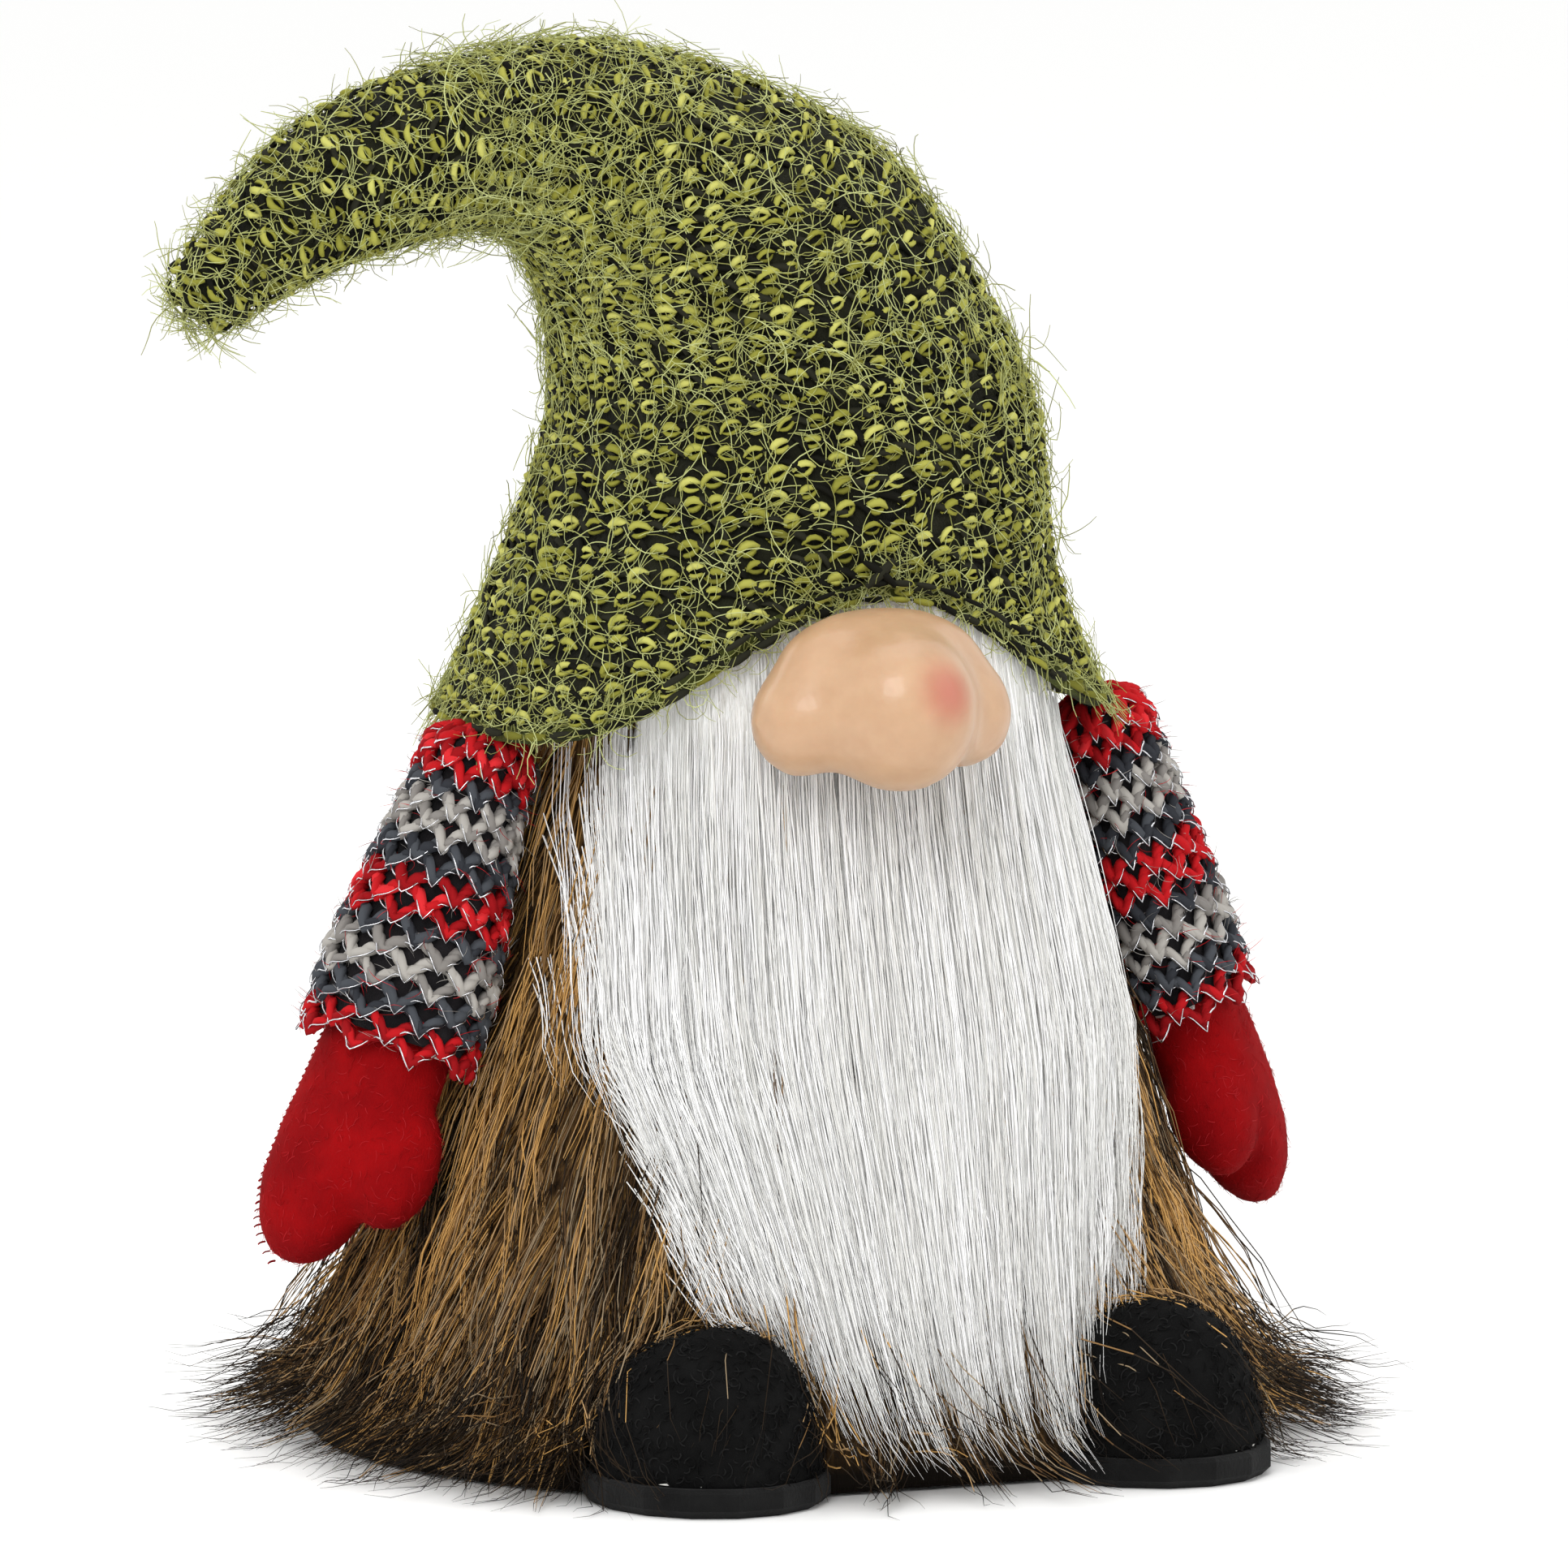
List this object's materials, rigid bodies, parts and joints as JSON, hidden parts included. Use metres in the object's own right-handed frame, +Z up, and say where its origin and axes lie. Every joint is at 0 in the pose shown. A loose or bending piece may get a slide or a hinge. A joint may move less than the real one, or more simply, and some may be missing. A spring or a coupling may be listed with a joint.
{
  "type": "tomte gnome figurine",
  "caption": "Free-standing Nordic gnome with a bent knitted hat, a big nose, a long white beard, a fur body, knitted arms with mittens and small boots.",
  "frame": {"origin": "centre of the round base, on the surface it stands on", "axes": "+Z up, the gnome faces -Y and its hat bends towards -X"},
  "size_m": [0.2852, 0.2774, 0.3284],
  "materials": {
    "green_knit": "bumpy hand knit in two yarns, olive green and black, with long mohair hairs",
    "hem_yarn": "black yarn edging",
    "brown_fur": "long pile fur in brown, tan and black",
    "white_fur": "long straight silky white pile",
    "striped_knit": "chunky crochet in red, pale grey and dark grey stripes with a silver thread",
    "red_felt": "soft wool felt",
    "boot_fleece": "matt black fleece",
    "base_cloth": "matt black felt",
    "stuffing": "loose polyester fibre",
    "canvas": "woven bag packed with plastic pellets, and twisted cloth tabs",
    "board": "grey board",
    "vinyl_skin": "smooth satin vinyl with a blush on the tip",
    "white_plastic": "moulded plastic",
    "wire": "soft annealed wire"
  },
  "bodies": {
    "root": {"base_cloth": "base_cloth", "base_board": "board", "pellet_bag": "canvas", "body_stuffing": "stuffing", "fur_coat": "brown_fur", "boot_sole_right": "boot_fleece", "boot_upper_right": "boot_fleece", "boot_stuffing_right": "stuffing", "boot_sole_left": "boot_fleece", "boot_upper_left": "boot_fleece", "boot_stuffing_left": "stuffing", "head_stuffing": "stuffing", "hat_shell": "green_knit", "hat_hem": "hem_yarn", "hat_wire_root": "wire", "nose": "vinyl_skin", "nose_stud": "white_plastic", "nose_washer": "white_plastic", "beard_panel": "white_fur"},
    "hat_horn": {"hat_horn": "green_knit", "hat_horn_stuffing": "stuffing", "hat_wire_horn": "wire"},
    "hat_end": {"hat_end": "green_knit", "hat_end_stuffing": "stuffing", "hat_wire_end": "wire"},
    "beard": {"beard_fall": "white_fur"},
    "shoulder_right": {"shoulder_tab_right": "canvas"},
    "arm_right": {"sleeve_right": "striped_knit", "mitten_right": "red_felt", "arm_stuffing_right": "stuffing"},
    "shoulder_left": {"shoulder_tab_left": "canvas"},
    "arm_left": {"sleeve_left": "striped_knit", "mitten_left": "red_felt", "arm_stuffing_left": "stuffing"}
  },
  "joints": [
    {"name": "hat_bend", "type": "hinge", "parent": "root", "child": "hat_horn", "pos_m": [-0.05362, 0, 0.3067], "axis": [0, 1, 0], "range_deg": [-25, 25]},
    {"name": "hat_end_bend", "type": "hinge", "parent": "hat_horn", "child": "hat_end", "pos_m": [-0.11372, 0, 0.29717], "axis": [0, 1, 0], "range_deg": [-30, 30]},
    {"name": "beard_lift", "type": "hinge", "parent": "root", "child": "beard", "pos_m": [0, -0.0775, 0.141], "axis": [-1, 0, 0], "range_deg": [0, 50]},
    {"name": "arm_swing_right", "type": "hinge", "parent": "root", "child": "shoulder_right", "pos_m": [-0.0805, -0.006, 0.1565], "axis": [-1, 0, 0], "range_deg": [-40, 55]},
    {"name": "arm_raise_right", "type": "hinge", "parent": "shoulder_right", "child": "arm_right", "pos_m": [-0.0805, -0.006, 0.1565], "axis": [0, 1, 0], "range_deg": [0, 55]},
    {"name": "arm_swing_left", "type": "hinge", "parent": "root", "child": "shoulder_left", "pos_m": [0.0805, -0.006, 0.1565], "axis": [-1, 0, 0], "range_deg": [-40, 55]},
    {"name": "arm_raise_left", "type": "hinge", "parent": "shoulder_left", "child": "arm_left", "pos_m": [0.0805, -0.006, 0.1565], "axis": [0, -1, 0], "range_deg": [0, 55]}
  ]
}
